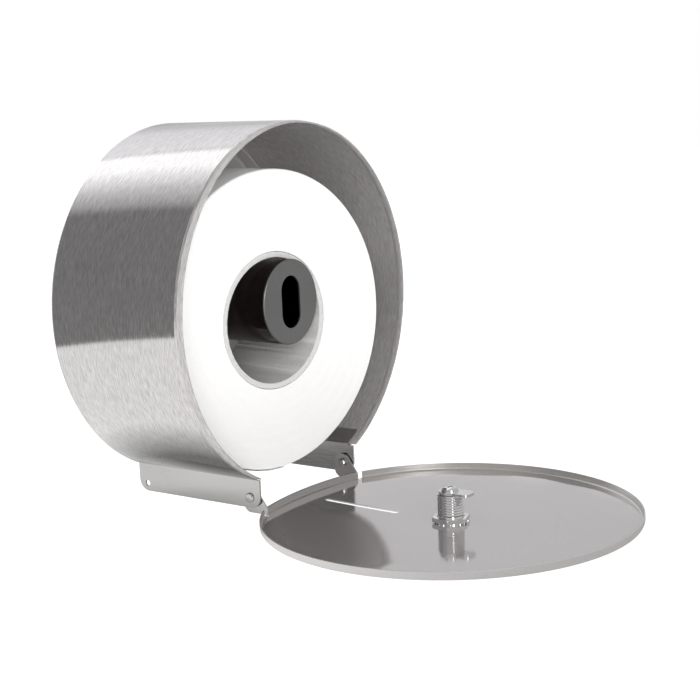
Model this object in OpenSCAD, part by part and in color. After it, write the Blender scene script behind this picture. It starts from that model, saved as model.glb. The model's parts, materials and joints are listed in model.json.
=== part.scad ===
// Wall-hung drum dispenser for a jumbo paper roll: a sheet-steel drum with a round hinged lid,
// a slotted spindle hub that carries the roll, and a key lock whose cam catches behind the hub.
// Origin: centre of the back plate's rear face, on the drum's axis. The front faces -Y, +Z is up.
// The lid is drawn fully open and level, as the part rests with its door down.

/* [Drum] */
// Outside diameter of the drum
drum_d = 266; // [262:1:270]
// Depth from the wall to the front edge of the drum
drum_depth = 125.5; // [123:0.5:128]
// Thickness of the drum and lid sheet
sheet = 1; // [0.8:0.1:1.2]
// Length of the stepped-in front edge that the lid fits over
lip_len = 6.2; // [6:0.1:8]
// How far the front edge is stepped in
lip_step = 0.9; // [0.7:0.1:1]
// Clear width of the paper opening at the bottom, between its brackets
mouth_w = 114; // [106:1:118]

/* [Back plate] */
// Depth of the back plate's rim inside the drum
rim_depth = 14; // [8:1:20]
// Bend radius round the back plate
back_bend = 4; // [3:0.5:6]
// Distance between wall holes, across
wall_hole_x = 150; // [120:1:160]
// Distance between wall holes, up
wall_hole_z = 120; // [110:1:130]
// Diameter of the wall holes
wall_hole_d = 6.5; // [4:0.5:8]

/* [Hub] */
// Outside diameter of the spindle hub
hub_d = 63; // [60:1:66]
// Depth from the wall to the hub's front face
hub_depth = 114; // [112:0.5:115]
// Width of the lock slot in the hub's face
slot_w = 21.5; // [21:0.5:24]
// Height of the lock slot in the hub's face
slot_h = 39; // [38:0.5:42]

/* [Lid] */
// How far the lid's rim stands outside the drum
lid_over = 0.8; // [0.6:0.1:1.2]
// Height of the lid's turned-up rim
lid_rim_h = 6; // [5:0.5:7]
// How far the middle of the lid bulges outwards
lid_dome = 2.5; // [1:0.5:3]
// Width of the paper-level slit
slit_w = 5; // [4:0.5:6]
// Length of the paper-level slit
slit_len = 65; // [40:1:70]

/* [Hinge] */
// Depth of the hinge axis from the wall
hinge_depth = 114; // [113:0.5:115]
// Diameter of the hinge rivets
rivet_d = 4.8; // [4:0.2:5]

/* [Lock] */
// Thread diameter of the lock barrel
barrel_d = 19; // [18:0.5:19.5]
// Width across the barrel's two flats
barrel_flats = 18; // [16:0.5:18.5]
// Height of the barrel above the inside of the lid
barrel_h = 20; // [18:0.5:21]
// Reach of the cam from the lock's axis
cam_reach = 17.5; // [14:0.5:18]

/* [Roll] */
// Diameter of the paper roll
roll_d = 222.5; // [150:0.5:224]
// Width of the paper roll
roll_w = 84; // [70:1:85]
// Outside diameter of the roll's core
core_d = 101.5; // [98:0.5:106]
// Angle that the loose roll has swung round on its hub
roll_turn = 8; // [0:1:8]

/* [Hidden] */
$fn = 96;
eps = 0.01;

drum_r = drum_d / 2;
mouth_x = mouth_w / 2;
lip_r = drum_r - lip_step;
lip_slope = 1;
plate_t = 1.2;

hub_r = hub_d / 2;
hub_z = 1;
hub_wall = 1.5;
hub_face_t = 1.4;
foot_r = 40;
foot_t = 1.5;

lid_r = drum_r + lid_over;
lid_gap = 0.3;
lid_bend = 2.5;
dome_steps = 12;
lock_seat_r = 15;
bend_steps = 5;
hinge_z = -drum_r;
lid_y = -hinge_depth + hinge_z;
lid_z = hinge_z - (drum_depth + lid_gap + sheet - hinge_depth);
notch_x = 61;
notch_y = 100;
relief_x = 57.5;
relief_r = 1.5;
relief_y = 118.4;
slit_y = 76.5;

bracket_t = 1.4;
mouth_cut = mouth_x + bracket_t + 0.1;
bracket_back = -6;
bracket_front = -hinge_depth - 9.5;
bracket_bottom = hinge_z - 7.5;
bracket_corner = 9;
flange_back = -rim_depth - 1;
flange_front = -118.5;
flange_span = 7;
weld_r = drum_r - sheet;
flange_t = 1.4;
spare_hole_y = -14;
spare_hole_z = -134.5;
spare_hole_r = 2.25;

ear_t = 1.2;
ear_x = mouth_x - 0.9 - ear_t;
ear_r = 7;
lobe_r = 5.8;
lobe_y = -hinge_depth + 1.7;
strap_end = 119.8;
strap_rise = 6.5;
strap_r = (pow(ear_x, 2) + pow(strap_rise, 2)) / (2 * strap_rise);
strap_h = 5.5;
strap_foot_w = 8;
strap_foot_h = 4.5;
rivet_r = rivet_d / 2;
rivet_head_r = 3.5;
rivet_head_t = 1.6;
rivet_tail_r = 3.2;
rivet_tail_len = 2.2;
run_gap = 0.05;
spacer_t = 0.8;
spacer_r = 5.5;
stud_r = 2;
stud_z = -138.3;

floor_z = sheet - lid_dome;
barrel_r = barrel_d / 2;
barrel_top = floor_z + barrel_h;
thread_pitch = 1.875;
thread_depth = 0.6;
thread_turns = 8;
plug_r = 6.5;
plug_head_r = 7.6;
plug_head_t = 1.5;
flange_r = 11.5;
flange_h = 2.2;
washer_t = 0.9;
nut_af = 24;
nut_t = 3;
nut_turn = 20;
cam_t = 2;
cam_w = 13;
cam_z = barrel_top + 0.2;
drive_w = 7;
screw_r = 2;
screw_len = 6.5;
screw_head_r = 5.8;
screw_head_t = 2.3;
cam_boss_r = 8.3;
cam_washer_r = 6.3;
cam_washer_t = 0.5;

core_wall = 4;
core_r = core_d / 2;
roll_r = roll_d / 2;
roll_clear = 0.4;
roll_swing = roll_w / 2 * sin(roll_turn);
roll_drop = sqrt(pow(core_r - core_wall - hub_r - roll_clear, 2) - pow(roll_swing, 2));
roll_y = -61;
roll_z = hub_z - roll_drop;
roll_edge = 1;
tail_gap = 0.7;
tail_t = 0.4;
tail_from = 170;
tail_to = 272;

// Turns a shape drawn along +Z so that it runs from the wall towards the front.
module from_wall() {
    rotate([90, 0, 0]) children();
}

// Extrudes an outline drawn in the Y-Z plane along X, starting at x0.
module side_plate(x0, thick) {
    translate([x0, 0, 0]) rotate([90, 0, 90]) linear_extrude(thick) children();
}

// The lid's own frame: origin at the centre of its outer base plane, +Z into the lid.
module in_lid() {
    translate([0, lid_y, lid_z]) children();
}

// The roll's own frame: origin at its centre, +Z along its axis towards the front.
module in_roll() {
    translate([0, roll_y, roll_z]) rotate([90, 0, -roll_turn]) children();
}

// A straight slot with round ends, drawn flat and centred.
module slot_outline(width, height) {
    straight = height - width;
    square([width, straight], center = true);
    for (side = [-1, 1]) {
        translate([0, side * straight / 2]) circle(d = width);
    }
}

// A quarter of a ring, for a sheet bend. The bend's centre is the origin.
module bend_outline(radius, thick) {
    intersection() {
        difference() {
            circle(radius);
            circle(radius - thick);
        }
        translate([0, -radius]) square(radius);
    }
}

// ---- Drum ----

module back_profile() {
    rim_r = drum_r - sheet;
    square([rim_r - back_bend, plate_t]);
    translate([rim_r - back_bend, back_bend]) bend_outline(back_bend, plate_t);
    translate([rim_r - plate_t, back_bend]) square([plate_t, rim_depth - back_bend]);
}

module back_plate() {
    color("gainsboro") difference() {
        from_wall() rotate_extrude() back_profile();
        for (x = [-1, 1], z = [-1, 1]) {
            translate([x * wall_hole_x / 2, 1, z * wall_hole_z / 2])
                from_wall() cylinder(d = wall_hole_d, h = plate_t + 2);
        }
    }
}

module shell_profile() {
    step_at = drum_depth - lip_len;
    polygon([
        [drum_r - sheet, back_bend], [drum_r, back_bend],
        [drum_r, step_at], [lip_r, step_at + lip_slope], [lip_r, drum_depth],
        [lip_r - sheet, drum_depth], [lip_r - sheet, step_at + lip_slope], [drum_r - sheet, step_at]
    ]);
}

module drum_shell() {
    color("silver") difference() {
        from_wall() rotate_extrude() shell_profile();
        translate([-mouth_cut, -drum_depth - 1, -drum_r - 1])
            cube([2 * mouth_cut, drum_depth + 2, drum_r / 2]);
    }
}

// ---- Brackets beside the paper opening ----

module bracket_outline() {
    length = bracket_back - bracket_front;
    middle = bracket_bottom + bracket_corner;
    shoulder = -sqrt(pow(weld_r, 2) - pow(mouth_x, 2)) - 0.2;
    top = -sqrt(pow(weld_r - flange_t / 2, 2) - pow(mouth_x + bracket_t / 2, 2));
    translate([bracket_front, middle]) square([length, shoulder - middle]);
    translate([flange_front + 1, middle]) square([flange_back - flange_front - 2, top - middle]);
    translate([bracket_front + bracket_corner, bracket_bottom])
        square([length - 2 * bracket_corner, bracket_corner + eps]);
    translate([bracket_front + bracket_corner, middle]) circle(bracket_corner);
    translate([bracket_back - bracket_corner, middle]) circle(bracket_corner);
}

// The bracket's flange, welded along the inside of the drum.
module bracket_flange() {
    start = -acos(mouth_x / (weld_r - flange_t));
    length = flange_back - flange_front;
    translate([0, flange_back, 0]) from_wall() rotate([0, 0, start])
        rotate_extrude(angle = flange_span) translate([weld_r - flange_t, 0]) square([flange_t, length]);
}

module right_bracket() {
    color("lightgray") {
        difference() {
            side_plate(mouth_x, bracket_t) bracket_outline();
            translate([mouth_x - 1, -hinge_depth, hinge_z])
                rotate([0, 90, 0]) cylinder(r = rivet_r + 0.1, h = bracket_t + 2);
            translate([mouth_x - 1, spare_hole_y, spare_hole_z])
                rotate([0, 90, 0]) cylinder(r = spare_hole_r, h = bracket_t + 2);
        }
        bracket_flange();
    }
}

module left_bracket() {
    mirror([1, 0, 0]) right_bracket();
}

// ---- Spindle hub ----

module hub_tube() {
    length = hub_depth - hub_face_t - plate_t;
    color("dimgray") translate([0, -plate_t, hub_z]) from_wall() difference() {
        cylinder(r = hub_r, h = length);
        translate([0, 0, -1]) cylinder(r = hub_r - hub_wall, h = length + 2);
    }
}

module hub_plate() {
    chamfer = 0.5;
    color("gray") translate([0, -hub_depth + hub_face_t, hub_z]) from_wall() difference() {
        rotate_extrude() polygon([
            [0, 0], [hub_r, 0], [hub_r, hub_face_t - chamfer], [hub_r - chamfer, hub_face_t], [0, hub_face_t]
        ]);
        translate([0, 0, -1]) linear_extrude(hub_face_t + 2) slot_outline(slot_w, slot_h);
    }
}

// The foot ring that welds the hub to the back plate, with its weld bead.
module hub_foot() {
    bead = 1.2;
    color("silver") translate([0, -plate_t, hub_z]) from_wall() rotate_extrude() polygon([
        [hub_r, 0], [foot_r, 0], [foot_r, foot_t], [hub_r + bead, foot_t], [hub_r, foot_t + bead]
    ]);
}

// ---- Hinge ----

// A hinge rivet, its shank along +X and its head outermost.
module right_rivet() {
    ear_face = ear_x - 0.1;
    head_face = mouth_x + bracket_t;
    bevel = 0.7;
    color("whitesmoke") translate([0, -hinge_depth, hinge_z]) rotate([0, 90, 0]) rotate_extrude() polygon([
        [0, ear_face - rivet_tail_len], [rivet_tail_r - bevel, ear_face - rivet_tail_len],
        [rivet_tail_r, ear_face - rivet_tail_len + bevel], [rivet_tail_r, ear_face],
        [rivet_r, ear_face], [rivet_r, head_face], [rivet_head_r, head_face],
        [rivet_head_r, head_face + rivet_head_t - bevel], [rivet_head_r - bevel, head_face + rivet_head_t - bevel / 3],
        [0, head_face + rivet_head_t]
    ]);
}

module left_rivet() {
    mirror([1, 0, 0]) right_rivet();
}

// The thin ring that keeps the lid's ear off the bracket.
module right_spacer() {
    color("whitesmoke") translate([mouth_x - spacer_t, -hinge_depth, hinge_z]) rotate([0, 90, 0])
        difference() {
            cylinder(r = spacer_r, h = spacer_t);
            translate([0, 0, -1]) cylinder(r = rivet_r + run_gap, h = spacer_t + 2);
        }
}

module left_spacer() {
    mirror([1, 0, 0]) right_spacer();
}

// The stud on the left bracket that the lid's ear comes down on when the lid is open.
module stop_stud() {
    ear_back = lobe_y + lobe_r;
    reach = mouth_x - ear_x;
    color("whitesmoke") translate([-mouth_x, ear_back + stud_r + run_gap, stud_z])
        rotate([0, 90, 0]) cylinder(r = stud_r, h = reach);
}

// ---- Lid ----

// The lid's face at a share of the way out from the lock's flat seat to the rim's bend: a shallow bulge.
function dome_point(share, lift) = [
    lock_seat_r + (lid_r - lid_bend - lock_seat_r) * share,
    lift - lid_dome * (1 - share * share)
];

function dome_points(lift) = concat(
    [[0, lift - lid_dome]],
    [for (i = [0 : dome_steps]) dome_point(i / dome_steps, lift)]
);

function bend_points(radius) = [
    for (i = [1 : bend_steps])
        let (a = -90 + 90 * i / bend_steps)
            [lid_r - lid_bend + radius * cos(a), lid_bend + radius * sin(a)]
];

function reversed(list) = [for (i = [len(list) - 1 : -1 : 0]) list[i]];

module lid_profile() {
    outside = concat(dome_points(0), bend_points(lid_bend));
    inside = concat(dome_points(sheet), bend_points(lid_bend - sheet));
    rim = [[lid_r, lid_rim_h], [lid_r - sheet, lid_rim_h]];
    polygon(concat(outside, rim, reversed(inside)));
}

// The barrel's outline: round with two flats, opened out by a gap.
module barrel_outline(gap) {
    intersection() {
        circle(barrel_r + gap);
        square([barrel_flats + 2 * gap, barrel_d + 2], center = true);
    }
}

module lid_pan() {
    color("silver") in_lid() difference() {
        rotate_extrude() lid_profile();
        translate([-notch_x, notch_y, sheet]) cube([2 * notch_x, lid_r - notch_y + 1, lid_rim_h]);
        translate([0, slit_y, -lid_dome - 1])
            linear_extrude(lid_dome + sheet + 2) slot_outline(slit_w, slit_len);
        translate([0, 0, -lid_dome - 1]) linear_extrude(lid_dome + 2) barrel_outline(0.1);
        for (side = [-1, 1]) {
            translate([side * relief_x, relief_y, -1])
                cylinder(r = relief_r, h = sheet + 2);
        }
    }
}

// The outline of an ear in the Y-Z plane: a round eye, a rounded lobe, and a foot at the strap's end.
module ear_outline() {
    foot_y = lid_y + strap_end - ear_t / 2;
    foot_z = lid_z + sheet;
    difference() {
        hull() {
            translate([-hinge_depth, hinge_z]) circle(ear_r);
            translate([lobe_y, foot_z + lobe_r]) circle(lobe_r);
            translate([foot_y, foot_z]) square([strap_foot_w, strap_foot_h]);
        }
        translate([-hinge_depth, hinge_z]) circle(rivet_r + run_gap);
    }
}

// The strap that replaces the rim between the brackets, with an ear turned up at each end.
module hinge_strap() {
    color("darkgray") {
        in_lid() translate([0, 0, sheet]) linear_extrude(strap_h) intersection() {
            translate([0, strap_end + strap_rise - strap_r]) difference() {
                circle(strap_r + ear_t);
                circle(strap_r);
            }
            translate([-ear_x - ear_t / 2, notch_y]) square([2 * ear_x + ear_t, lid_r - notch_y]);
        }
        side_plate(ear_x, ear_t) ear_outline();
        side_plate(-ear_x - ear_t, ear_t) ear_outline();
    }
}

// ---- Lock ----

// Radii of the threaded barrel from its foot to its top, one ridge per turn.
function thread_points() = [
    for (i = [0 : thread_turns - 1], side = [0, 1])
        [
            barrel_r - (side == 0 ? thread_depth : 0),
            barrel_top - (thread_turns - i) * thread_pitch + side * thread_pitch / 2
        ]
];

module lock_barrel() {
    foot = -lid_dome;
    bevel = 0.8;
    color("whitesmoke") in_lid() difference() {
        union() {
            translate([0, 0, foot - flange_h]) cylinder(r1 = flange_r - bevel, r2 = flange_r, h = bevel);
            translate([0, 0, foot - flange_h + bevel]) cylinder(r = flange_r, h = flange_h - bevel);
            intersection() {
                rotate_extrude() polygon(concat(
                    [[0, foot - 0.1], [barrel_r, foot - 0.1], [barrel_r, floor_z + nut_t]],
                    thread_points(), [[barrel_r - thread_depth, barrel_top], [0, barrel_top]]
                ));
                translate([0, 0, foot - 1]) linear_extrude(barrel_h + 5) barrel_outline(0);
            }
        }
        translate([0, 0, foot - flange_h - 1]) cylinder(r = plug_r + run_gap, h = barrel_h + 8);
        translate([0, 0, foot - flange_h - 1]) cylinder(r = plug_head_r + run_gap, h = plug_head_t + 1);
    }
}

module lock_nut() {
    bevel = 1;
    corner_r = nut_af / 2 / cos(30);
    color("white") in_lid() translate([0, 0, floor_z + washer_t]) rotate(nut_turn) difference() {
        intersection() {
            cylinder(r = corner_r, h = nut_t, $fn = 6);
            rotate_extrude() polygon([
                [0, 0], [corner_r, 0], [corner_r, nut_t - bevel / 2], [corner_r - bevel, nut_t], [0, nut_t]
            ]);
        }
        translate([0, 0, -1]) cylinder(r = barrel_r + run_gap, h = nut_t + 2);
    }
}

module lock_washer() {
    teeth = 14;
    ring_r = 10.6;
    tooth_w = 2.2;
    tooth_len = 1.4;
    color("gainsboro") in_lid() translate([0, 0, floor_z]) linear_extrude(washer_t) difference() {
        union() {
            circle(ring_r);
            for (i = [0 : teeth - 1]) {
                rotate(i * 360 / teeth) translate([ring_r - 1, -tooth_w / 2])
                    square([tooth_len + 1, tooth_w]);
            }
        }
        circle(barrel_r + run_gap);
    }
}

module lock_plug() {
    foot = -lid_dome - flange_h;
    keyway_w = 2.4;
    keyway_h = 9;
    keyway_depth = 13;
    color("gainsboro") in_lid() difference() {
        union() {
            translate([0, 0, foot]) cylinder(r = plug_head_r, h = plug_head_t - run_gap);
            translate([0, 0, foot]) cylinder(r = plug_r, h = barrel_top - foot + 0.1);
            translate([-drive_w / 2, -drive_w / 2, barrel_top]) cube([drive_w, drive_w, cam_t]);
        }
        translate([-keyway_w / 2, -keyway_h / 2, foot - 1]) cube([keyway_w, keyway_h, keyway_depth + 1]);
        translate([0, 0, barrel_top - screw_len]) cylinder(r = screw_r, h = screw_len + cam_t + 1);
    }
}

module cam_outline() {
    tip_r = 4.5;
    difference() {
        union() {
            circle(cam_boss_r);
            translate([-cam_w / 2, -cam_reach + tip_r]) square([cam_w, cam_reach - tip_r]);
            translate([-cam_w / 2 + tip_r, -cam_reach]) square([cam_w - 2 * tip_r, tip_r + eps]);
            for (side = [-1, 1]) {
                translate([side * (cam_w / 2 - tip_r), -cam_reach + tip_r]) circle(tip_r);
            }
        }
        square(drive_w + 0.1, center = true);
    }
}

module lock_cam() {
    color("white") in_lid() translate([0, 0, cam_z]) linear_extrude(cam_t) cam_outline();
}

module cam_washer() {
    color("whitesmoke") in_lid() translate([0, 0, cam_z + cam_t]) difference() {
        cylinder(r = cam_washer_r, h = cam_washer_t);
        translate([0, 0, -1]) cylinder(r = screw_r + 0.1, h = cam_washer_t + 2);
    }
}

module cam_screw() {
    seat = cam_z + cam_t + cam_washer_t;
    recess_len = 6;
    recess_w = 1.3;
    recess_depth = 1.4;
    color("white") in_lid() difference() {
        union() {
            translate([0, 0, barrel_top - screw_len + 0.5])
                cylinder(r = screw_r, h = seat - barrel_top + screw_len);
            translate([0, 0, seat]) rotate_extrude() polygon([
                [0, 0], [screw_head_r, 0], [screw_head_r, 0.9], [screw_head_r - 0.5, 1.4],
                [screw_head_r - 2.2, 2], [0, screw_head_t]
            ]);
        }
        for (turn = [0, 90]) {
            rotate([0, 0, turn]) translate([-recess_len / 2, -recess_w / 2, seat + screw_head_t - recess_depth])
                cube([recess_len, recess_w, recess_depth + 1]);
        }
    }
}

// ---- Roll ----

module roll_core() {
    color("burlywood") in_roll() translate([0, 0, -roll_w / 2]) difference() {
        cylinder(r = core_r, h = roll_w);
        translate([0, 0, -1]) cylinder(r = core_r - core_wall, h = roll_w + 2);
    }
}

// The wound paper, with its loose end standing just clear of the roll near the bottom.
module paper_roll() {
    half = roll_w / 2;
    middle = (tail_from + tail_to) / 2;
    color("white") in_roll() {
        rotate_extrude() polygon([
            [core_r, -half], [roll_r - roll_edge, -half], [roll_r, -half + roll_edge],
            [roll_r, half - roll_edge], [roll_r - roll_edge, half], [core_r, half]
        ]);
        translate([0, 0, -half + roll_edge]) linear_extrude(roll_w - 2 * roll_edge) intersection() {
            difference() {
                translate([tail_gap * cos(tail_to), tail_gap * sin(tail_to)]) circle(roll_r + tail_t);
                translate([tail_gap * cos(tail_to), tail_gap * sin(tail_to)]) circle(roll_r);
            }
            polygon([
                [0, 0], [2 * roll_r * cos(tail_from), 2 * roll_r * sin(tail_from)],
                [2 * roll_r * cos(middle), 2 * roll_r * sin(middle)],
                [2 * roll_r * cos(tail_to), 2 * roll_r * sin(tail_to)]
            ]);
        }
    }
}

back_plate();
drum_shell();
left_bracket();
right_bracket();
hub_tube();
hub_plate();
hub_foot();
left_rivet();
right_rivet();
left_spacer();
right_spacer();
stop_stud();
lid_pan();
hinge_strap();
lock_barrel();
lock_nut();
lock_washer();
lock_plug();
lock_cam();
cam_washer();
cam_screw();
roll_core();
paper_roll();
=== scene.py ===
import json
import math

import bmesh
import bpy
import numpy as np
from mathutils import Matrix, Vector


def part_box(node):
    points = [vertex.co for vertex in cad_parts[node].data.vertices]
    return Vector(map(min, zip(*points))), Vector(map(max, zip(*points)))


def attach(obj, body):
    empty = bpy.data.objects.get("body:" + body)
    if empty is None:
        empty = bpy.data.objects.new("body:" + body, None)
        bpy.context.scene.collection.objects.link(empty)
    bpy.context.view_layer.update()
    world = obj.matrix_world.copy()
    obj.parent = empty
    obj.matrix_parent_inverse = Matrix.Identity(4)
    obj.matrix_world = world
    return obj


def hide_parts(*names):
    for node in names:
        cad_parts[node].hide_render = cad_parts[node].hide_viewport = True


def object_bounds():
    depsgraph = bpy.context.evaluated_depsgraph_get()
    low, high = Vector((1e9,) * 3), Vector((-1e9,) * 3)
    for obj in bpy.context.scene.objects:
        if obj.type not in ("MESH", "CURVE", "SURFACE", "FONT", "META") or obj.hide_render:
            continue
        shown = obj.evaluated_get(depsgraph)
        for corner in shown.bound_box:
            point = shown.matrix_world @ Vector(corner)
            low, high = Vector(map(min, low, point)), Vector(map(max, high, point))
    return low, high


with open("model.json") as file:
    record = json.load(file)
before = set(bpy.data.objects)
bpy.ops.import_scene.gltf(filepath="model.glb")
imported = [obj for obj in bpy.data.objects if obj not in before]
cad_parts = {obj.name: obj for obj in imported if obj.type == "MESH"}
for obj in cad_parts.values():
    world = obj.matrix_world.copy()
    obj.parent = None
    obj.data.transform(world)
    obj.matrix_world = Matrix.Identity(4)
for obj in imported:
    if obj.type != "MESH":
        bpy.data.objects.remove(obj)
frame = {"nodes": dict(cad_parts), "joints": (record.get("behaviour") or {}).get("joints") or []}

bl_info = {
    "name": "Jumbo Paper Roll Dispenser",
    "version": (1, 0, 0),
    "blender": (4, 5, 0),
    "location": "3D View > Sidebar > Dispenser",
    "description": "Finishes a round steel paper roll dispenser: sheet, hub, hinge, lock and roll",
    "category": "Add Mesh",
}

CAD_BOX = [list(corner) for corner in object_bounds()]
NODES = frame["nodes"]

SHARP = 35.0  # degrees: a steeper edge than this is creased, and eased on the sheet parts
FIBRE_ROUGH = 0.95  # roughness of paper and board
EDGE_HIGHLIGHT_POINTINESS = (0.52, 0.6)  # pointiness of an edge where the painted highlight starts and is full
BORDER = 0.0001  # half width, in metres, of the change from the drum's outside finish to its duller inside one, which also carries painted shade

# The studio's tones over the dispenser: an angle in degrees from the right over the top to the left, and the
# brightness there as a number, or as a share of the bright band.
RIGHT_TONES = ((32, 0.95), (57, 1.15), (60.5, 1.0))
BAND_TONES = ((64, 1.0), (76, 1.0), (86, 0.75), (97, 0.5), (108, 0.33))
DARK_FROM, DARK_TO = 114, 180


# ---------------------------------------------------------------- settings


class DispenserSizes(bpy.types.PropertyGroup):
    """The sizes of the pieces made here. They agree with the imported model."""

    sheet: bpy.props.FloatProperty(
        name="Sheet", description="Thickness of the drum's wall", default=0.001, unit="LENGTH")
    lip_step: bpy.props.FloatProperty(
        name="Lip step", description="How far the front lip is stepped in", default=0.0009, unit="LENGTH")
    lip_length: bpy.props.FloatProperty(
        name="Lip length", description="Depth of the stepped-in front lip", default=0.0062, unit="LENGTH")
    mouth_half: bpy.props.FloatProperty(
        name="Mouth half width", description="From the middle of the paper opening to the wall's cut edge",
        default=0.0585, unit="LENGTH")
    lip_slope: bpy.props.FloatProperty(
        name="Lip slope", description="Length of the sloped step behind the front lip",
        default=0.0028, unit="LENGTH")
    round_steps: bpy.props.IntProperty(
        name="Steps round", description="Steps in the drum's wall from one edge of the mouth to the other",
        default=300, min=24)
    roll_diameter: bpy.props.FloatProperty(
        name="Roll diameter", description="Outside diameter of the wound paper",
        default=0.2225, unit="LENGTH")
    roll_width: bpy.props.FloatProperty(
        name="Roll width", description="Width of the paper", default=0.084, unit="LENGTH")
    core_diameter: bpy.props.FloatProperty(
        name="Core diameter", description="Outside diameter of the board core", default=0.1015, unit="LENGTH")
    tail_gap: bpy.props.FloatProperty(
        name="Loose end gap", description="How far the loose end of the paper stands off the roll",
        default=0.0007, unit="LENGTH")
    core_wall: bpy.props.FloatProperty(
        name="Core wall", description="Thickness of the board core", default=0.004, unit="LENGTH")


class DispenserLook(bpy.types.PropertyGroup):
    """The colours of the dispenser's materials."""

    drum: bpy.props.FloatVectorProperty(
        name="Drum steel", description="Tone of the brushed drum", subtype="COLOR",
        default=(0.62, 0.605, 0.6))
    bracket: bpy.props.FloatVectorProperty(
        name="Bracket steel", description="Tone of the brackets", subtype="COLOR", default=(0.5, 0.49, 0.48))
    # Painted reflection: the polished tube's tone is near black so that it stands for the dark, shaded inside
    # of the core it mirrors.
    hub: bpy.props.FloatVectorProperty(
        name="Hub steel", description="Tone of the hub's polished tube", subtype="COLOR",
        default=(0.09, 0.075, 0.07))
    hub_face: bpy.props.FloatVectorProperty(
        name="Hub face", description="Tone of the hub's slotted face", subtype="COLOR",
        default=(0.26, 0.26, 0.26))
    rivet: bpy.props.FloatVectorProperty(
        name="Rivet steel", description="Tone of the rivets", subtype="COLOR", default=(0.55, 0.54, 0.53))
    lid: bpy.props.FloatVectorProperty(
        name="Lid steel", description="Tone of the lid", subtype="COLOR", default=(0.62, 0.605, 0.595))
    lock: bpy.props.FloatVectorProperty(
        name="Lock chrome", description="Tone of the plated lock", subtype="COLOR",
        default=(0.85, 0.85, 0.86))
    core: bpy.props.FloatVectorProperty(
        name="Core board", description="Tone of the roll's core", subtype="COLOR",
        default=(0.72, 0.717, 0.705))
    paper: bpy.props.FloatVectorProperty(
        name="Paper", description="Tone of the tissue", subtype="COLOR", default=(0.94, 0.94, 0.935))


class StudioSettings(bpy.types.PropertyGroup):
    """Where the camera stands and how the studio is lit."""

    azimuth: bpy.props.FloatProperty(
        name="Azimuth", description="Camera's turn round the dispenser from straight in front",
        default=math.radians(-53.98), subtype="ANGLE")
    elevation: bpy.props.FloatProperty(
        name="Elevation", description="Camera's height above the level, as an angle",
        default=math.radians(10.0), subtype="ANGLE")
    roll: bpy.props.FloatProperty(
        name="Roll", description="Camera's tilt about its own line of sight",
        default=math.radians(-2.34), subtype="ANGLE")
    distance: bpy.props.FloatProperty(
        name="Distance", description="From the camera to the point it looks at",
        default=1.1348, unit="LENGTH")
    target: bpy.props.FloatVectorProperty(
        name="Look at", description="The point in the middle of the view",
        default=(0.04495, -0.133, -0.0411), subtype="TRANSLATION")
    lens: bpy.props.FloatProperty(
        name="Lens", description="Focal length on a 36 mm wide sensor", default=77.22)
    floor_drop: bpy.props.FloatProperty(
        name="Floor drop", description="Gap between the open lid and the floor",
        default=0.004, unit="LENGTH")
    floor_glow: bpy.props.FloatProperty(
        name="Floor glow", description="Light that the pale floor gives off by itself", default=0.97, min=0)
    floor_steel: bpy.props.FloatProperty(
        name="Floor in steel", description="How bright the open floor looks in the steel",
        default=1.05, min=0)
    shade_x: bpy.props.FloatProperty(
        name="Shade width", description="Half width of the shaded floor under the drum",
        default=0.09, unit="LENGTH")
    shade_y: bpy.props.FloatProperty(
        name="Shade depth", description="Half depth of the shaded floor under the drum",
        default=0.10, unit="LENGTH")
    shade_glow: bpy.props.FloatProperty(
        name="Shade", description="How bright the shaded floor looks in the steel", default=0.22, min=0)
    floor_end: bpy.props.FloatProperty(
        name="Floor end", description="How far behind the wall plane the light part of the floor ends",
        default=0.35, unit="LENGTH")
    dark_glow: bpy.props.FloatProperty(
        name="Dark side", description="How bright the dark side of the studio looks in the steel",
        default=0.26, min=0)
    band_glow: bpy.props.FloatProperty(
        name="Bright band", description="How bright the band over the drum looks in the steel",
        default=1.65, min=0)
    top_light: bpy.props.FloatProperty(
        name="Top light", description="Brightness of the light over the drum", default=2.6, min=0)
    front_light: bpy.props.FloatProperty(
        name="Front light", description="Brightness of the light in front of the drum", default=6.4, min=0)
    glint: bpy.props.FloatProperty(
        name="Glint", description="Brightness of the narrow strip that shows only in the metal",
        default=5.0, min=0)
    wall_back: bpy.props.FloatProperty(
        name="Back wall", description="Brightness of the studio behind the dispenser", default=0.64, min=0)
    wall_front: bpy.props.FloatProperty(
        name="Front wall", description="Brightness of the studio in front of the dispenser",
        default=0.5, min=0)


# ---------------------------------------------------------------- surfaces


def ring_quads(rows, cols, close_rows=False, close_cols=False, first=0):
    """Quads that join a rows x cols grid of points, whose points are numbered row by row from first."""
    i, j = np.meshgrid(np.arange(rows if close_rows else rows - 1),
                       np.arange(cols if close_cols else cols - 1), indexing="ij")
    k, m = (i + 1) % rows, (j + 1) % cols
    return (np.stack([i * cols + j, k * cols + j, k * cols + m, i * cols + m], -1) + first).reshape(-1, 4)


def rounded_outline(corners, radii, steps=5):
    """A closed outline with rounded corners: an arc that touches both of its sides replaces each corner."""
    p, r = np.array(corners, float), np.array(radii, float)[:, None]
    back, ahead = np.roll(p, 1, 0) - p, np.roll(p, -1, 0) - p
    back /= np.linalg.norm(back, axis=1, keepdims=True)
    ahead /= np.linalg.norm(ahead, axis=1, keepdims=True)
    half = 0.5 * np.arccos(np.clip((back * ahead).sum(1, keepdims=True), -1, 1))
    reach = r / np.tan(half)
    middle = back + ahead
    centre = p + middle / np.linalg.norm(middle, axis=1, keepdims=True) * r / np.sin(half)
    turn = (math.pi - 2 * half)[:, None]
    t = np.linspace(0, 1, steps)[None, :, None]
    arc = (np.sin((1 - t) * turn) * (p + back * reach - centre)[:, None]
           + np.sin(t * turn) * (p + ahead * reach - centre)[:, None]) / np.sin(turn)
    return (centre[:, None] + arc).reshape(-1, 2)


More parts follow.
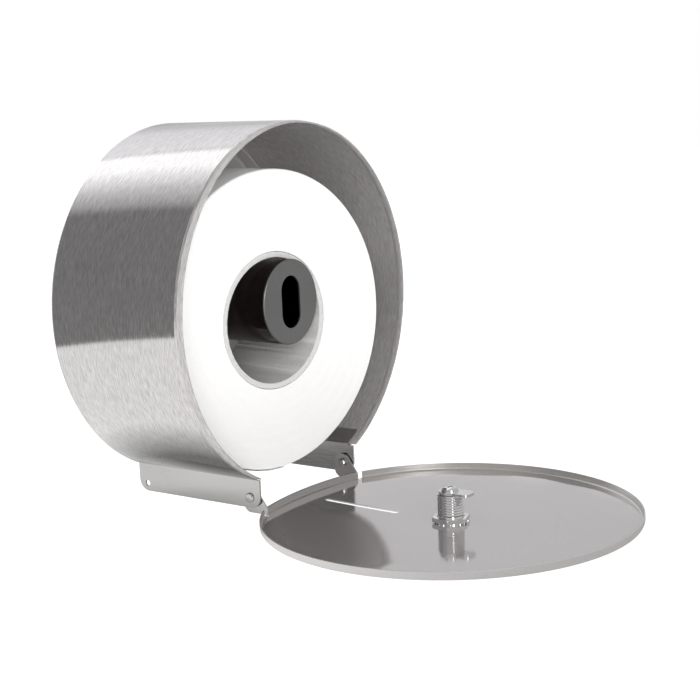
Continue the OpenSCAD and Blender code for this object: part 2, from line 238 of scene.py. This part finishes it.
def new_object(name, data):
    """An object in the scene that holds the mesh, light or camera, at the origin."""
    thing = bpy.data.objects.new(name, data)
    bpy.context.scene.collection.objects.link(thing)
    return thing


def make_piece(name, points, faces, body, material, sharp=SHARP):
    """Puts points (in metres) and faces into a new mesh, faces outwards, and lets it ride on its body."""
    mesh = bpy.data.meshes.new(name)
    mesh.from_pydata(points.tolist(), [], [list(map(int, f)) for f in faces])
    mesh.validate()
    build = bmesh.new()
    build.from_mesh(mesh)
    bmesh.ops.recalc_face_normals(build, faces=build.faces)
    build.to_mesh(mesh)
    build.free()
    mesh.materials.append(material)
    mesh.shade_smooth()
    mesh.set_sharp_from_angle(angle=math.radians(sharp))
    piece = new_object(name, mesh)
    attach(piece, body)
    return piece


def eased_copy(name, node, body, material, width):
    """The CAD part with its doubles merged and its sharp edges broken by a narrow round."""
    mesh = NODES[node].data.copy()
    mesh.name = name
    build = bmesh.new()
    build.from_mesh(mesh)
    bmesh.ops.remove_doubles(build, verts=build.verts, dist=1e-6)
    bmesh.ops.dissolve_limit(build, angle_limit=math.radians(0.4), verts=build.verts, edges=build.edges)
    build.to_mesh(mesh)
    build.free()
    if "custom_normal" in mesh.attributes:
        mesh.attributes.remove(mesh.attributes["custom_normal"])
    mesh.materials.clear()
    mesh.materials.append(material)
    mesh.shade_smooth()
    mesh.set_sharp_from_angle(angle=math.radians(SHARP))
    piece = new_object(name, mesh)
    ease = piece.modifiers.new("eased_edges", "BEVEL")
    ease.width = width
    ease.segments = 2
    ease.limit_method = "ANGLE"
    ease.angle_limit = math.radians(SHARP)
    ease.harden_normals = False
    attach(piece, body)
    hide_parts(node)
    return piece


# ---------------------------------------------------------------- finishes


def blank_material(name):
    """A new material, its node tree and its shader."""
    material = bpy.data.materials.new(name)
    material.use_nodes = True
    tree = material.node_tree
    tree.nodes.clear()
    out = tree.nodes.new("ShaderNodeOutputMaterial")
    shader = tree.nodes.new("ShaderNodeBsdfPrincipled")
    tree.links.new(shader.outputs["BSDF"], out.inputs["Surface"])
    return material, tree, shader


def feed(tree, socket, value):
    """Links another node's output to the socket, or sets the socket to a plain value."""
    if isinstance(value, bpy.types.NodeSocket):
        tree.links.new(value, socket)
    else:
        socket.default_value = value


def source_of(socket):
    """The output that is linked to the socket."""
    return socket.links[0].from_socket


def object_place(tree):
    """The place on the piece itself, in metres."""
    return tree.nodes.new("ShaderNodeTexCoord").outputs["Object"]


def part_of(tree, vector, axis):
    """The vector's X, Y or Z part."""
    node = tree.nodes.new("ShaderNodeSeparateXYZ")
    tree.links.new(vector, node.inputs["Vector"])
    return node.outputs[axis]


def scaled(tree, vector, scale, location=(0, 0, 0)):
    """The vector with each part multiplied by its own scale and then moved."""
    node = tree.nodes.new("ShaderNodeMapping")
    node.inputs["Scale"].default_value = scale
    node.inputs["Location"].default_value = location
    tree.links.new(vector, node.inputs["Vector"])
    return node.outputs["Vector"]


def reach(tree, vector, scale, location=(0, 0, 0)):
    """The length of the scaled and moved vector. A scale of 0 on one axis gives the distance from it."""
    node = tree.nodes.new("ShaderNodeVectorMath")
    node.operation = "LENGTH"
    tree.links.new(scaled(tree, vector, scale, location), node.inputs[0])
    return node.outputs["Value"]


def combine(tree, operation, *values):
    """One step of arithmetic; each value is a number or another node's output."""
    node = tree.nodes.new("ShaderNodeMath")
    node.operation = operation
    for socket, value in zip(node.inputs, values):
        feed(tree, socket, value)
    return node.outputs["Value"]


def noise(tree, scale, detail, stretch=None):
    """Noise over the piece; stretch scales each axis, so that a small number draws the noise out along it."""
    place = object_place(tree)
    texture = tree.nodes.new("ShaderNodeTexNoise")
    texture.inputs["Scale"].default_value = scale
    texture.inputs["Detail"].default_value = detail
    tree.links.new(scaled(tree, place, stretch) if stretch else place, texture.inputs["Vector"])
    return texture.outputs["Fac"]


def spread(tree, value, low, high, start=0.3, end=0.7):
    """Maps a value from start..end to low..high."""
    node = tree.nodes.new("ShaderNodeMapRange")
    for socket, number in (("From Min", start), ("From Max", end), ("To Min", low), ("To Max", high)):
        node.inputs[socket].default_value = number
    tree.links.new(value, node.inputs["Value"])
    return node.outputs["Result"]


def blend_colours(tree, factor, first, second, kind="MIX"):
    """first where factor is 0 and second where it is 1; each is a colour or another node's output."""
    node = tree.nodes.new("ShaderNodeMix")
    node.data_type = "RGBA"
    node.blend_type = kind
    feed(tree, node.inputs["Factor"], factor)
    for socket, colour in (("A", first), ("B", second)):
        plain = not isinstance(colour, bpy.types.NodeSocket)
        feed(tree, node.inputs[socket], (*colour, 1) if plain else colour)
    return node.outputs["Result"]


def raise_grain(tree, shader, height, strength, depth):
    """Lets a pattern stand out of the surface."""
    bump = tree.nodes.new("ShaderNodeBump")
    bump.inputs["Strength"].default_value = strength
    bump.inputs["Distance"].default_value = depth
    tree.links.new(height, bump.inputs["Height"])
    tree.links.new(bump.outputs["Normal"], shader.inputs["Normal"])


def shade(colour, share):
    """The colour made darker or lighter by a share."""
    return tuple(min(1.0, c * share) for c in colour)


def steel(name, colour, rough, grain, depth=0.00003, strength=0.5, mottle=0.04, streak=0.09, metal=1.0):
    """Rolled or brushed sheet: streaks drawn out one way, a slow mottle in the tone and a painted highlight
    that lightens the sharp edges.
    """
    material, tree, shader = blank_material(name)
    streaks = noise(tree, 1.0, 3.0, stretch=grain)
    cloud = noise(tree, 9.0, 2.0)
    tones = [blend_colours(tree, spread(tree, pattern, 0, 1), shade(colour, 1 - change),
                           shade(colour, 1 + change))
             for pattern, change in ((cloud, mottle), (streaks, streak))]
    both = blend_colours(tree, 0.5, *tones)
    # Painted highlight: sharp edges are lightened in the base colour, where a bright line of light would
    # catch.
    pointiness = tree.nodes.new("ShaderNodeNewGeometry").outputs["Pointiness"]
    painted_edge_highlight = spread(tree, pointiness, 0, 0.35, *EDGE_HIGHLIGHT_POINTINESS)
    tree.links.new(blend_colours(tree, painted_edge_highlight, both, shade(colour, 1.25)), shader.inputs["Base Color"])
    tree.links.new(spread(tree, streaks, rough * 0.8, rough * 1.2), shader.inputs["Roughness"])
    raise_grain(tree, shader, streaks, strength, depth)
    shader.inputs["Metallic"].default_value = metal
    return material, tree, shader


def fibre_board(name, colour, fleck, scale=700.0):
    """Pressed paper fibre: a fine felt of flecks over a slow change of tone."""
    material, tree, shader = blank_material(name)
    felt = noise(tree, scale, 4.0)
    cloud = noise(tree, 60.0, 2.0)
    tone = blend_colours(tree, spread(tree, felt, 0, 1), shade(colour, fleck), colour)
    tree.links.new(blend_colours(tree, spread(tree, cloud, 0, 0.25), tone, shade(colour, 0.95)),
                   shader.inputs["Base Color"])
    tree.links.new(spread(tree, felt, FIBRE_ROUGH * 0.9, FIBRE_ROUGH * 1.05), shader.inputs["Roughness"])
    raise_grain(tree, shader, felt, 0.3, 0.0001)
    shader.inputs["Specular IOR Level"].default_value = 0.2
    return material


def dress(finish, *names):
    """Gives CAD parts their finish, as steel() returns it."""
    material = finish[0]
    for name in names:
        mesh = NODES[name].data
        mesh.materials.clear()
        mesh.materials.append(material)


# ---------------------------------------------------------------- pieces


class DISPENSER_OT_drum(bpy.types.Operator):
    """Makes the drum's wall, with its stepped front lip, and finishes the back plate."""

    bl_idname = "dispenser.drum"
    bl_label = "Drum"

    def brushed(self, colour, joggle, inner):
        """The drum's steel: short strokes round the wall, a duller front lip, and a duller inside whose
        colour is darkened as painted shade.
        """
        material, tree, shader = steel("drum_brushed", colour, 0.1, (160, 1250, 160), depth=0.00001,
                                       strength=0.35, streak=0.42)
        rough, paint = shader.inputs["Roughness"], shader.inputs["Base Color"]
        place = object_place(tree)
        lip = spread(tree, part_of(tree, place, "Y"), 0.4, 0, -joggle - 0.002, -joggle - 0.0005)
        radius = reach(tree, place, (1, 0, 1))
        inner_finish_and_shade = spread(tree, radius, 0.15, 0, inner - BORDER, inner + BORDER)
        outer_finish = combine(tree, "ADD", source_of(rough), lip)
        tree.links.new(combine(tree, "ADD", outer_finish, inner_finish_and_shade), rough)
        metal = spread(tree, radius, 0.55, 1, inner - BORDER, inner + BORDER)
        tree.links.new(metal, shader.inputs["Metallic"])
        # Painted shade: the inside of the drum is darkened towards black in its base colour.
        tree.links.new(blend_colours(tree, inner_finish_and_shade, source_of(paint), (0, 0, 0)), paint)
        return material

    def execute(self, context):
        look = context.scene.dispenser_look
        size = context.scene.dispenser_sizes
        low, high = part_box("drum_shell")
        outer = high[0]
        inner, lip = outer - size.sheet, outer - size.lip_step
        back, front = -high[1], -low[1]
        joggle = front - size.lip_length
        slope_end = joggle + size.lip_slope
        cut, bend, rim = 0.0003, 0.0006, 0.0004
        section = rounded_outline(
            [(outer, back), (outer, joggle), (lip, slope_end), (lip, front),
             (lip - size.sheet, front), (lip - size.sheet, slope_end), (inner, joggle), (inner, back)],
            [cut, bend, bend, rim, rim, bend, bend, cut])
        half = size.mouth_half
        # The section of the wall carried round the drum's axis, from one edge of the mouth over the top to
        # the other. Each point starts where its own circle meets the mouth's flat edge.
        start = np.arcsin(half / section[:, 0])[None, :]
        share = np.linspace(0, 1, size.round_steps)[:, None]
        turn = start + (2 * math.pi - 2 * start) * share
        points = np.stack([-section[:, 0] * np.sin(turn), np.broadcast_to(-section[:, 1], turn.shape),
                           -section[:, 0] * np.cos(turn)], -1).reshape(-1, 3)
        rows, cols = turn.shape
        faces = ring_quads(rows, cols, close_cols=True).tolist()
        faces += [list(range(cols)), list(range((rows - 1) * cols, rows * cols))]
        piece = make_piece("drum_wall", points, faces, "dispenser",
                           self.brushed(look.drum, joggle, outer - 0.6 * size.sheet))
        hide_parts("drum_shell")
        dress(steel("back_plate_steel", look.drum, 0.42, (30, 900, 900), metal=0.5), "back_plate")
        return {"FINISHED"}


class DISPENSER_OT_brackets(bpy.types.Operator):
    """Finishes the two brackets beside the paper opening."""

    bl_idname = "dispenser.brackets"
    bl_label = "Brackets"

    def execute(self, context):
        tone = context.scene.dispenser_look.bracket
        # Painted light: the right bracket's steel is a lighter copy of the left's, the same finish in a
        # brighter tone.
        for side, share in (("left", 1.0), ("right", 1.1)):
            finish, *_ = steel(side + "_bracket_brushed", shade(tone, share), 0.2, (1100, 70, 1100),
                               depth=0.00001)
            eased_copy(side + "_bracket_plate", side + "_bracket", "dispenser",
                       finish, 0.00025)
        return {"FINISHED"}


class DISPENSER_OT_hub(bpy.types.Operator):
    """Finishes the spindle hub and its foot."""

    bl_idname = "dispenser.hub"
    bl_label = "Hub"

    def execute(self, context):
        look = context.scene.dispenser_look
        # Painted reflection: the tube's near-black tone stands for the shaded inside of the core that it
        # mirrors.
        dress(steel("hub_polished", look.hub, 0.09, (60, 900, 60), depth=0.00001), "hub_tube")
        dress(steel("hub_face_matt", look.hub_face, 0.42, (900, 900, 900), mottle=0.08, streak=0.2),
              "hub_plate")
        dress(steel("hub_foot_steel", look.drum, 0.3, (300, 300, 300)), "hub_foot")
        return {"FINISHED"}


class DISPENSER_OT_hinge(bpy.types.Operator):
    """Finishes the hinge's rivets, spacers, stop and strap."""

    bl_idname = "dispenser.hinge"
    bl_label = "Hinge"

    def execute(self, context):
        look = context.scene.dispenser_look
        dress(steel("rivet_bright", look.rivet, 0.18, (300, 300, 300)),
              "left_rivet", "right_rivet", "left_spacer", "right_spacer", "stop_stud")
        finish, *_ = steel("strap_steel", look.lid, 0.2, (6, 6, 900))
        eased_copy("strap_with_ears", "hinge_strap", "lid", finish, 0.0002)
        return {"FINISHED"}


class DISPENSER_OT_lid(bpy.types.Operator):
    """Finishes the lid pan."""

    bl_idname = "dispenser.lid"
    bl_label = "Lid"

    def brushed(self, colour):
        """The lid's steel: a soft mirror on the flat, and matt where the rim was drawn up."""
        material, tree, shader = steel("lid_brushed", colour, 0.08, (700, 700, 700), depth=0.000004,
                                       mottle=0.015, metal=0.8)
        low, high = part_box("lid_pan")
        middle, edge = (low[1] + high[1]) / 2, high[0]
        radius = reach(tree, object_place(tree), (1, 1, 0), (0, -middle, 0))
        drawn = spread(tree, radius, 0, 0.3, edge - 0.003, edge - 0.0015)
        rough = shader.inputs["Roughness"]
        tree.links.new(combine(tree, "ADD", source_of(rough), drawn), rough)
        return material

    def execute(self, context):
        look = context.scene.dispenser_look
        eased_copy("lid_with_rim", "lid_pan", "lid", self.brushed(look.lid), 0.0003)
        return {"FINISHED"}


class DISPENSER_OT_lock(bpy.types.Operator):
    """Finishes the cam lock, its nut and its washers."""

    bl_idname = "dispenser.lock"
    bl_label = "Lock"

    def execute(self, context):
        look = context.scene.dispenser_look
        dress(steel("lock_chrome", look.lock, 0.08, (200, 200, 200), depth=0.00001),
              "lock_barrel", "lock_washer", "lock_plug", "cam_washer")
        finish, *_ = steel("nut_chrome", look.lock, 0.12, (200, 200, 200), depth=0.00001)
        eased_copy("hex_nut", "lock_nut", "lid", finish, 0.00012)
        eased_copy("cam_plate", "lock_cam", "lock", finish, 0.0002)
        eased_copy("cross_screw", "cam_screw", "lock", finish, 0.00012)
        return {"FINISHED"}


class DISPENSER_OT_roll(bpy.types.Operator):
    """Makes the paper roll, its loose end and its core."""

    bl_idname = "dispenser.roll"
    bl_label = "Roll"

    def place(self, joint, radius, turn, along):
        """Points at a radius, a turn (from straight down, clockwise from the front) and a distance along the
        roll's axis: the joint's place plus the distance along the axis, less the radius times the turn's sine
        sideways and times its cosine upwards."""
        axis = np.array(joint["axis"])
        side = np.array([-axis[1], axis[0], 0.0])
        up = np.array([0.0, 0.0, 1.0])
        centre = np.array(joint["pos_m"])
        return (centre + along[..., None] * axis - (radius * np.sin(turn))[..., None] * side
                - (radius * np.cos(turn))[..., None] * up)

    def execute(self, context):
        look = context.scene.dispenser_look
        size = context.scene.dispenser_sizes
        joint = next(j for j in frame["joints"] if j["name"] == "roll_spin")
        rng = np.random.default_rng(7)
        outer, core, wide = size.roll_diameter / 2, size.core_diameter / 2, size.roll_width / 2

        # The wound paper: a ring-shaped section carried round the axis. Its end faces rise and fall a little
        # from turn to turn of the paper, as a sum of ripples in the radius, and sway in two slow waves round
        # the axis.
        gap, soft, proud = 0.0004, 0.0018, 0.0001
        face_steps, edge_steps, steps_round = 84, 5, 256
        r = np.linspace(core + gap, outer - soft - gap, face_steps)
        ripple = sum(a * np.sin(r * k + f) for a, k, f in
                     ((0.00005, 2600.0, 0.4), (0.00004, 5300.0, 1.9), (0.00008, 700.0, 4.0)))
        curve = np.linspace(0, math.pi / 2, edge_steps + 1)[1:-1]
        soft_r, soft_a = outer - soft + soft * np.sin(curve), wide - soft + soft * np.cos(curve)
        radius = np.concatenate([r, soft_r, [outer, outer], soft_r[::-1], r[::-1]])
        along = np.concatenate([wide - proud + ripple, soft_a, [wide - soft, soft - wide], -soft_a[::-1],
                                proud - wide - ripple[::-1]])
        turns = np.linspace(0, 2 * math.pi, steps_round, endpoint=False)
        sway = 0.00006 * np.sin(3 * turns + 0.5) + 0.00004 * np.sin(7 * turns + 2.0)
        grid_r, grid_t = np.meshgrid(radius, turns)
        grid_a = along[None, :] + sway[:, None] * np.sign(along)[None, :]
        points = self.place(joint, grid_r, grid_t, grid_a).reshape(-1, 3)
        faces = ring_quads(*grid_r.shape, close_rows=True, close_cols=True).tolist()

        # The loose end: a thin flat section carried round below the roll. It leaves the roll by the cosine of
        # its turn.
        thick, inset, tail_steps = 0.0004, 0.001, 90
        tail_from, tail_to = math.radians(100), math.radians(-2)
        turns = np.linspace(tail_from, tail_to, tail_steps)
        under = outer + size.tail_gap * np.cos(turns - tail_to)
        grid_r = under[:, None] + np.array([0, thick, thick, 0])[None, :]
        grid_t = np.broadcast_to(turns[:, None], grid_r.shape)
        grid_a = np.broadcast_to(np.array([-1, -1, 1, 1])[None, :] * (wide - inset), grid_r.shape)
        first, last = len(points), len(points) + grid_r.size
        points = np.concatenate([points, self.place(joint, grid_r, grid_t, grid_a).reshape(-1, 3)])
        faces += ring_quads(*grid_r.shape, close_cols=True, first=first).tolist()
        faces += [list(range(first, first + 4)), list(range(last - 4, last))]
        wound = make_piece("wound_paper", points, faces, "roll",
                           fibre_board("tissue_white", look.paper, 0.97), sharp=60)
        wound.visible_glossy = False
        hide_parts("paper_roll")

        # The core: a plain tube of board, its section carried round the axis and its cut ends roughened.
        inner = core - size.core_wall
        soft, short, ragged, steps_round = 0.0003, 0.0008, 0.00006, 240
        edge = rounded_outline([(inner, -wide), (core, -wide), (core, wide), (inner, wide)], [soft] * 4, 4)
        turns = np.linspace(0, 2 * math.pi, steps_round, endpoint=False)
        grid_r, grid_t = np.meshgrid(edge[:, 0], turns)
        rough = rng.normal(0, ragged, grid_r.shape)
        grid_a = np.broadcast_to(edge[:, 1], grid_r.shape) * (1 - short) + rough * np.sign(edge[:, 1])
        points = self.place(joint, grid_r, grid_t, grid_a).reshape(-1, 3)
        faces = ring_quads(*grid_r.shape, close_rows=True, close_cols=True)
        tube = make_piece("core_tube", points, faces, "roll",
                          fibre_board("core_board", look.core, 0.82, scale=900.0), sharp=50)
        tube.visible_glossy = False
        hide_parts("roll_core")
        return {"FINISHED"}


# ---------------------------------------------------------------- studio


def level_square(name, half, height):
    """A level square round the origin: its corners are half a side away both ways, in turn."""
    mesh = bpy.data.meshes.new(name)
    mesh.from_pydata([(-half, -half, height), (half, -half, height), (half, half, height),
                      (-half, half, height)], [], [(0, 1, 2, 3)])
    return new_object(name, mesh)


def soft_box(name, place, aim, width, height, brightness):
    """A rectangular studio light of a set brightness that faces the point aim."""
    light = bpy.data.lights.new(name, "AREA")
    light.shape = "RECTANGLE"
    light.size, light.size_y = width, height
    light.energy = brightness * math.pi * width * height
    lamp = new_object(name, light)
    lamp.location = place
    lamp.rotation_mode = "QUATERNION"
    lamp.rotation_quaternion = (Vector(aim) - Vector(place)).to_track_quat("-Z", "Y")
    lamp.visible_camera = False
    return lamp


class DISPENSER_OT_studio(bpy.types.Operator):
    """Lays the floor, hangs the lights and sets up the camera."""

    bl_idname = "dispenser.studio"
    bl_label = "Studio"

    def pale_floor(self, setup):
        """A pale floor that glows a little. Steel sees it in other tones: a painted shadow in an ellipse
        under the drum, darker towards the front right, and dark beyond its end. Each is a run of tones over a
        distance, and the three are multiplied."""
        material, tree, shader = blank_material("pale_floor")
        shader.inputs["Roughness"].default_value = 0.9
        shader.inputs["Specular IOR Level"].default_value = 0.0
        shader.inputs["Emission Color"].default_value = (1, 1, 1, 1)
        place = object_place(tree)
        x, y = (part_of(tree, place, axis) for axis in "XY")
        # Painted shadow, seen only in the steel: the floor is darker in an ellipse under the drum.
        ellipse = reach(tree, place, (1 / setup.shade_x, 1 / setup.shade_y, 0), (0, 0.05 / setup.shade_y, 0))
        under = spread(tree, ellipse, setup.shade_glow, setup.floor_steel, 0.75, 1.5)
        near = spread(tree, y, 1.0, 0.0, -0.36, -0.2)
        right = spread(tree, x, 0.0, 1.0, -0.5, -0.35)
        front = spread(tree, combine(tree, "MULTIPLY", near, right), 1.0, 0.45, 0, 1)
        end, blur = setup.floor_end, 0.01
        beyond = spread(tree, y, 1.0, setup.dark_glow / setup.floor_steel, end - blur, end + blur)
        whole = combine(tree, "MULTIPLY", combine(tree, "MULTIPLY", under, front), beyond)
        in_steel = tree.nodes.new("ShaderNodeLightPath").outputs["Is Glossy Ray"]
        paint = blend_colours(tree, in_steel, (0.35, 0.35, 0.35), (0, 0, 0))
        tree.links.new(paint, shader.inputs["Base Color"])
        glow = tree.nodes.new("ShaderNodeMix")
        glow.data_type = "FLOAT"
        feed(tree, glow.inputs["Factor"], in_steel)
        feed(tree, glow.inputs["A"], setup.floor_glow)
        feed(tree, glow.inputs["B"], whole)
        tree.links.new(glow.outputs["Result"], shader.inputs["Emission Strength"])
        return material

    def paint_world(self, scene, setup):
        """The walls: white straight to the camera, and otherwise a run of tones over the dispenser from right
        to left, dark at its left, with one plain tone in front."""
        world = bpy.data.worlds.new("studio")
        scene.world = world
        world.use_nodes = True
        tree = world.node_tree
        way = tree.nodes.new("ShaderNodeTexCoord").outputs["Generated"]
        x, y, z = (part_of(tree, way, axis) for axis in "XYZ")
        height = combine(tree, "ABSOLUTE", combine(tree, "ARCTAN2", z, x))
        arch = tree.nodes.new("ShaderNodeValToRGB")
        stops = [(18, setup.wall_back), *RIGHT_TONES]
        stops += [(angle, share * setup.band_glow) for angle, share in BAND_TONES]
        stops += [(angle, setup.dark_glow) for angle in (DARK_FROM, DARK_TO)]
        ramp = arch.color_ramp
        while len(ramp.elements) < len(stops):
            ramp.elements.new(0.5)
        for element, (angle, glow) in zip(ramp.elements, stops):
            element.position = angle / 180
            element.color = (glow, glow, glow, 1)
        tree.links.new(combine(tree, "DIVIDE", height, math.pi), arch.inputs["Fac"])
        behind = spread(tree, y, 0, 1, 0.25, 0.42)
        around = blend_colours(tree, behind, (setup.wall_front,) * 3, arch.outputs["Color"])
        tint = blend_colours(tree, behind, (1, 0.985, 0.975), (0.98, 0.975, 1))
        tinted = blend_colours(tree, 1.0, around, tint, "MULTIPLY")
        seen = tree.nodes.new("ShaderNodeLightPath").outputs["Is Camera Ray"]
        tree.links.new(blend_colours(tree, seen, tinted, (1, 1, 1)), tree.nodes["Background"].inputs["Color"])

    def execute(self, context):
        setup = context.scene.dispenser_studio
        scene = context.scene
        scene.view_settings.view_transform = "Standard"
        a, e = setup.azimuth, setup.elevation
        forward = Vector((-math.sin(a) * math.cos(e), math.cos(a) * math.cos(e), -math.sin(e)))
        camera = new_object("camera", bpy.data.cameras.new("camera"))
        camera.location = Vector(setup.target) - forward * setup.distance
        camera.rotation_mode = "QUATERNION"
        camera.rotation_quaternion = (
            forward.to_track_quat("-Z", "Y") @ Matrix.Rotation(setup.roll, 4, "Z").to_quaternion())
        camera.data.sensor_width = 36.0
        camera.data.lens = setup.lens
        camera.data.clip_start = 0.01
        scene.camera = camera

        floor = level_square("floor", 5, CAD_BOX[0][2] - setup.floor_drop)
        floor.data.materials.append(self.pale_floor(setup))

        top = soft_box("top_box", (-0.65, 0.6, 0.95), (0, 0, 0), 1.3, 1.1, setup.top_light)
        front = soft_box("front_box", (-1.15, -1.35, 0.35), (0, -0.1, 0), 1.2, 0.8, setup.front_light)
        top.visible_glossy = front.visible_glossy = False
        glint = soft_box("glint_strip", (-1.0, -1.5, 0.45), (0, -0.15, 0), 0.35, 0.9, setup.glint)
        glint.visible_diffuse = False
        self.paint_world(scene, setup)
        return {"FINISHED"}


# ---------------------------------------------------------------- add-on


class DISPENSER_PT_sidebar(bpy.types.Panel):
    """Lists the dispenser's settings and its pieces."""

    bl_label = "Paper Roll Dispenser"
    bl_idname = "DISPENSER_PT_sidebar"
    bl_space_type = "VIEW_3D"
    bl_region_type = "UI"
    bl_category = "Dispenser"

    def draw(self, context):
        for name in SETTINGS:
            group = getattr(context.scene, name)
            for key in group.__annotations__:
                self.layout.prop(group, key)
        for name in PIECES:
            self.layout.operator("dispenser." + name)


CLASSES = (
    DispenserSizes,
    DispenserLook,
    StudioSettings,
    DISPENSER_OT_drum,
    DISPENSER_OT_brackets,
    DISPENSER_OT_hub,
    DISPENSER_OT_hinge,
    DISPENSER_OT_lid,
    DISPENSER_OT_lock,
    DISPENSER_OT_roll,
    DISPENSER_OT_studio,
    DISPENSER_PT_sidebar,
)
PIECES = ("drum", "brackets", "hub", "hinge", "lid", "lock", "roll", "studio")
SETTINGS = {
    "dispenser_sizes": DispenserSizes,
    "dispenser_look": DispenserLook,
    "dispenser_studio": StudioSettings,
}


def register():
    """Adds the classes, and the settings to the scene."""
    for cls in CLASSES:
        bpy.utils.register_class(cls)
    for name, group in SETTINGS.items():
        setattr(bpy.types.Scene, name, bpy.props.PointerProperty(type=group))


def unregister():
    """Takes away what register adds."""
    for name in SETTINGS:
        delattr(bpy.types.Scene, name)
    for cls in reversed(CLASSES):
        bpy.utils.unregister_class(cls)


def main():
    """Makes every piece and the studio."""
    register()
    for name in PIECES:
        getattr(bpy.ops.dispenser, name)()


if __name__ == "__main__":
    main()
